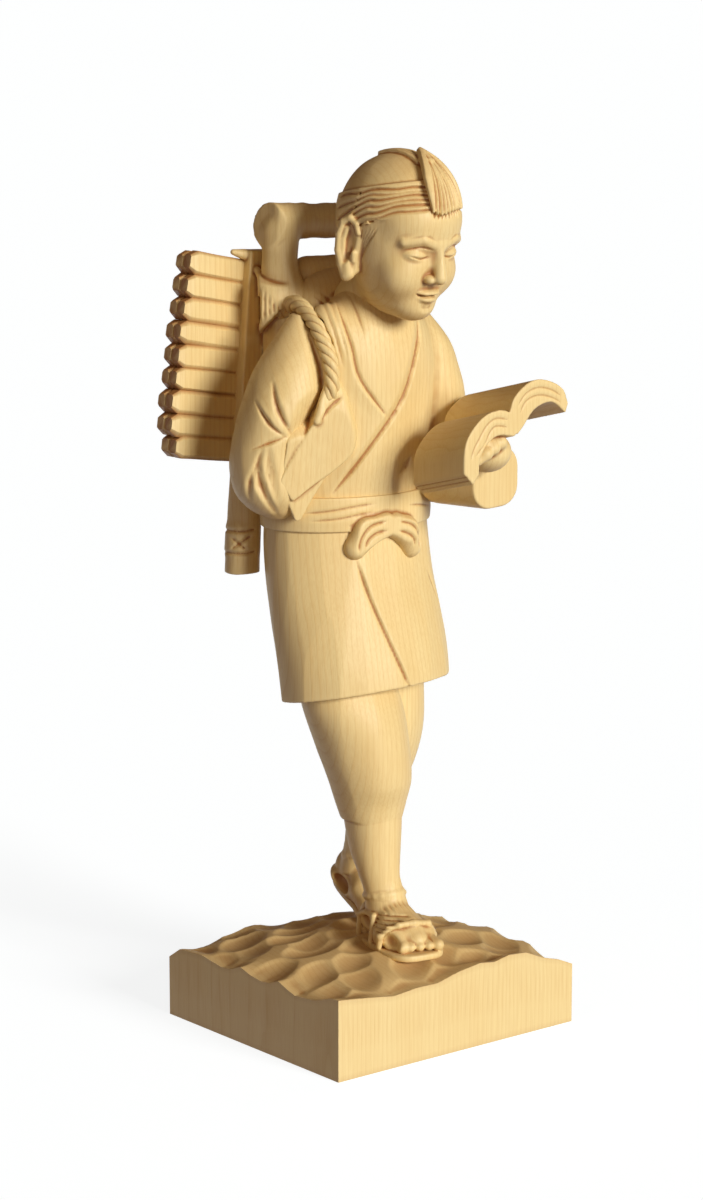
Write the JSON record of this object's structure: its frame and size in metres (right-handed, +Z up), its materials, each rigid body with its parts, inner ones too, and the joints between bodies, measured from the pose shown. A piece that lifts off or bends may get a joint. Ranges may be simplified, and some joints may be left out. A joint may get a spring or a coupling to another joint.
{
  "type": "carved wooden figure",
  "caption": "Carved wooden statuette of a walking boy who reads an open book and carries firewood on a back frame, standing on a square block base.",
  "frame": {"origin": "middle of the base's underside", "axes": "+Z up, the figure faces -Y, its right side and the hand that holds the strap towards -X"},
  "size_m": [0.1059, 0.0949, 0.2993],
  "materials": {
    "pale_wood": "knife-cut pale softwood with a satin surface"
  },
  "bodies": {
    "root": {"carved_figure": "pale_wood"}
  },
  "joints": []
}
